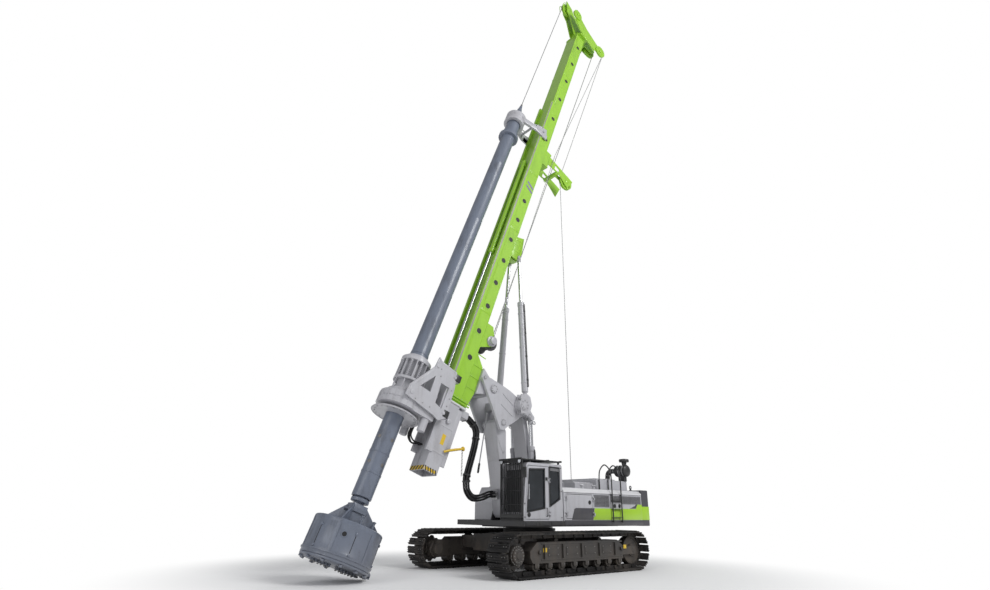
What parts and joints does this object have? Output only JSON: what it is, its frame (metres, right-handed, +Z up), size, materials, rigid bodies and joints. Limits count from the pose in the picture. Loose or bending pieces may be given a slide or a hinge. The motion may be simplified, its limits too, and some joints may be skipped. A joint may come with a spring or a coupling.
{
  "type": "rotary piling rig",
  "caption": "Crawler-mounted rotary piling rig with a parallelogram boom linkage, leaning box mast, crowd carriage with rotary drive, telescoping kelly bar and drilling bucket.",
  "frame": {"origin": "middle of the bounding box at ground level", "axes": "+X forward past the bucket, +Y to the cab side, +Z up"},
  "size_m": [12.1102, 4.5, 24.9641],
  "materials": {
    "track_steel": "matt",
    "undercarriage_paint": "satin",
    "frame_paint": "satin",
    "counterweight_paint": "satin",
    "grey_paint": "gloss",
    "green_paint": "gloss",
    "kelly_steel": "satin",
    "hose_rubber": "matt",
    "chrome_rod": "polished",
    "window_glass": "polished"
  },
  "bodies": {
    "undercarriage": {"carbody": "undercarriage_paint"},
    "track_unit_left": {"track_left": "track_steel", "track_frame_left": "undercarriage_paint", "travel_drive_left": "undercarriage_paint"},
    "track_unit_right": {"track_right": "track_steel", "track_frame_right": "undercarriage_paint", "travel_drive_right": "undercarriage_paint"},
    "upper": {"turntable_frame": "frame_paint", "counterweight": "counterweight_paint", "engine_hood": "grey_paint", "engine_block": "frame_paint", "cab_shell": "grey_paint", "cab_windscreen": "window_glass", "cab_guard": "frame_paint", "cab_interior": "frame_paint", "right_cabinet": "counterweight_paint", "air_cleaner": "frame_paint", "handrails": "frame_paint"},
    "cab_door": {"cab_door": "grey_paint", "cab_door_glass": "window_glass"},
    "service_door_left": {"service_door_left": "grey_paint"},
    "louvre_door_left": {"louvre_door_left": "grey_paint"},
    "service_door_right": {"service_door_right": "grey_paint"},
    "louvre_door_right": {"louvre_door_right": "grey_paint"},
    "boom": {"boom": "grey_paint", "hose_bundle_lower": "hose_rubber"},
    "support_link": {"support_link": "grey_paint"},
    "luffing_barrels": {"luffing_barrel_left": "grey_paint", "luffing_barrel_right": "grey_paint"},
    "luffing_rods": {"luffing_rod_left": "chrome_rod", "luffing_rod_right": "chrome_rod"},
    "triangle": {"triangle_frame": "grey_paint", "hose_bundle_upper": "hose_rubber"},
    "mast_barrels": {"mast_cylinder_barrel_left": "grey_paint", "mast_cylinder_barrel_right": "grey_paint"},
    "mast_rod_left": {"mast_cylinder_rod_left": "chrome_rod"},
    "mast_rod_right": {"mast_cylinder_rod_right": "chrome_rod"},
    "mast": {"mast_support": "grey_paint", "mast": "green_paint", "lower_mast": "grey_paint", "mast_head": "green_paint", "auxiliary_frame": "green_paint", "winch_frame": "green_paint", "crowd_barrel": "green_paint"},
    "front_sheave": {"front_sheave": "frame_paint"},
    "rear_sheave": {"rear_sheave": "frame_paint"},
    "auxiliary_sheave": {"auxiliary_sheave": "frame_paint"},
    "winch_drum": {"winch_drum": "frame_paint"},
    "carriage": {"carriage": "grey_paint", "rotary_gearbox": "grey_paint", "crowd_rod": "chrome_rod", "drive_hoses": "hose_rubber"},
    "drive_sleeve": {"drive_sleeve": "grey_paint"},
    "kelly_guide": {"kelly_guide": "grey_paint"},
    "kelly_outer": {"kelly_outer": "kelly_steel"},
    "kelly_inner": {"kelly_inner": "kelly_steel", "bucket": "kelly_steel"},
    "bucket_gate": {"bucket_gate": "kelly_steel"}
  },
  "joints": [
    {"name": "track_extend_left", "type": "slide", "parent": "undercarriage", "child": "track_unit_left", "axis": [0, 1, 0], "range_m": [-0.5, 0]},
    {"name": "track_extend_right", "type": "slide", "parent": "undercarriage", "child": "track_unit_right", "axis": [0, -1, 0], "range_m": [-0.5, 0]},
    {"name": "slewing", "type": "hinge", "parent": "undercarriage", "child": "upper", "pos_m": [-1.05421, 0, 1.125], "axis": [0, 0, 1], "continuous": true},
    {"name": "cab_door_hinge", "type": "hinge", "parent": "upper", "child": "cab_door", "pos_m": [-0.41821, 1.522, 2], "axis": [0, 0, 1], "range_deg": [0, 90]},
    {"name": "service_door_left_hinge", "type": "hinge", "parent": "upper", "child": "service_door_left", "pos_m": [-1.13421, 1.522, 1.745], "axis": [0, 0, -1], "range_deg": [0, 100]},
    {"name": "louvre_door_left_hinge", "type": "hinge", "parent": "upper", "child": "louvre_door_left", "pos_m": [-2.35421, 1.522, 1.745], "axis": [0, 0, -1], "range_deg": [0, 100]},
    {"name": "service_door_right_hinge", "type": "hinge", "parent": "upper", "child": "service_door_right", "pos_m": [-1.13421, -1.522, 1.745], "axis": [0, 0, 1], "range_deg": [0, 100]},
    {"name": "louvre_door_right_hinge", "type": "hinge", "parent": "upper", "child": "louvre_door_right", "pos_m": [-2.35421, -1.522, 1.745], "axis": [0, 0, 1], "range_deg": [0, 100]},
    {"name": "boom_luffing", "type": "hinge", "parent": "upper", "child": "boom", "pos_m": [0.00579, 0, 1.55], "axis": [0, 1, 0], "range_deg": [-5, 65], "deforming": ["hose_bundle_lower", "hose_bundle_upper"]},
    {"name": "support_link_hinge", "type": "hinge", "parent": "upper", "child": "support_link", "pos_m": [-1.08421, 0, 1.845], "axis": [0, 1, 0], "range_deg": [-5, 65]},
    {"name": "luffing_cylinder_hinge", "type": "hinge", "parent": "upper", "child": "luffing_barrels", "pos_m": [-0.85421, 0, 1.7], "axis": [0, 1, 0], "range_deg": [-5.38, 67.61]},
    {"name": "luffing_cylinder_stroke", "type": "slide", "parent": "luffing_barrels", "child": "luffing_rods", "axis": [0.0379, 0, 0.9993], "range_m": [-0.3772, 0.0336]},
    {"name": "triangle_hinge", "type": "hinge", "parent": "boom", "child": "triangle", "pos_m": [0.46579, 0, 4.095], "axis": [0, 1, 0], "range_deg": [-65, 5], "deforming": ["hose_bundle_lower", "hose_bundle_upper"]},
    {"name": "mast_raising", "type": "hinge", "parent": "triangle", "child": "mast", "pos_m": [0.86279, 0, 5.055], "axis": [0, 1, 0], "range_deg": [-69.8, 25.2], "deforming": ["hose_bundle_upper", "hose_bundle_lower"]},
    {"name": "mast_cylinder_hinge", "type": "hinge", "parent": "triangle", "child": "mast_barrels", "pos_m": [-0.33421, 0, 4.937], "axis": [0, 1, 0], "range_deg": [-75.33, 27.32]},
    {"name": "mast_cylinder_left_stroke", "type": "slide", "parent": "mast_barrels", "child": "mast_rod_left", "axis": [-0.0249, -0.0798, 0.9965], "range_m": [-1.194, 0.4343]},
    {"name": "mast_cylinder_right_stroke", "type": "slide", "parent": "mast_barrels", "child": "mast_rod_right", "axis": [-0.0249, 0.0798, 0.9965], "range_m": [-1.194, 0.4343]},
    {"name": "front_sheave_turn", "type": "hinge", "parent": "mast", "child": "front_sheave", "pos_m": [-4.01215, 0, 24.51672], "axis": [0, 1, 0], "continuous": true},
    {"name": "rear_sheave_turn", "type": "hinge", "parent": "mast", "child": "rear_sheave", "pos_m": [-5.48407, 0, 22.89897], "axis": [0, 1, 0], "continuous": true},
    {"name": "auxiliary_sheave_turn", "type": "hinge", "parent": "mast", "child": "auxiliary_sheave", "pos_m": [-3.03139, 0, 14.14761], "axis": [0, 1, 0], "continuous": true},
    {"name": "winch_turn", "type": "hinge", "parent": "mast", "child": "winch_drum", "pos_m": [0.84612, 0, 6.59177], "axis": [0, 1, 0], "continuous": true},
    {"name": "crowd_slide", "type": "slide", "parent": "mast", "child": "carriage", "axis": [-0.3453, 0, 0.9385], "range_m": [-0.6, 3.8], "deforming": ["drive_hoses"]},
    {"name": "kelly_guide_slide", "type": "slide", "parent": "mast", "child": "kelly_guide", "axis": [-0.3453, 0, 0.9385], "range_m": [-6, 1.6]},
    {"name": "kelly_turn", "type": "hinge", "parent": "kelly_guide", "child": "kelly_outer", "pos_m": [1.16086, 0, 11.47052], "axis": [-0.3453, 0, 0.9385], "continuous": true},
    {"name": "drive_sleeve_turn", "type": "hinge", "parent": "carriage", "child": "drive_sleeve", "pos_m": [3.75059, 0, 4.43182], "axis": [-0.3453, 0, 0.9385], "continuous": true},
    {"name": "kelly_telescope", "type": "slide", "parent": "kelly_outer", "child": "kelly_inner", "axis": [-0.3453, 0, 0.9385], "range_m": [-6, 0]},
    {"name": "bucket_gate_hinge", "type": "hinge", "parent": "kelly_inner", "child": "bucket_gate", "pos_m": [4.41468, 0, 0.07836], "axis": [0, 1, 0], "range_deg": [0, 95]}
  ],
  "couplings": [
    {"joint": "support_link_hinge", "follows": "boom_luffing", "ratio": 1},
    {"joint": "luffing_cylinder_hinge", "follows": "boom_luffing", "ratio": 1.0371},
    {"joint": "luffing_cylinder_stroke", "follows": "boom_luffing", "m_per_rad": -0.328},
    {"joint": "triangle_hinge", "follows": "boom_luffing", "ratio": -1},
    {"joint": "mast_cylinder_hinge", "follows": "mast_raising", "ratio": 1.0764},
    {"joint": "mast_cylinder_left_stroke", "follows": "mast_raising", "m_per_rad": 0.976},
    {"joint": "mast_cylinder_right_stroke", "follows": "mast_raising", "m_per_rad": 0.976},
    {"joint": "drive_sleeve_turn", "follows": "kelly_turn", "ratio": 1}
  ]
}
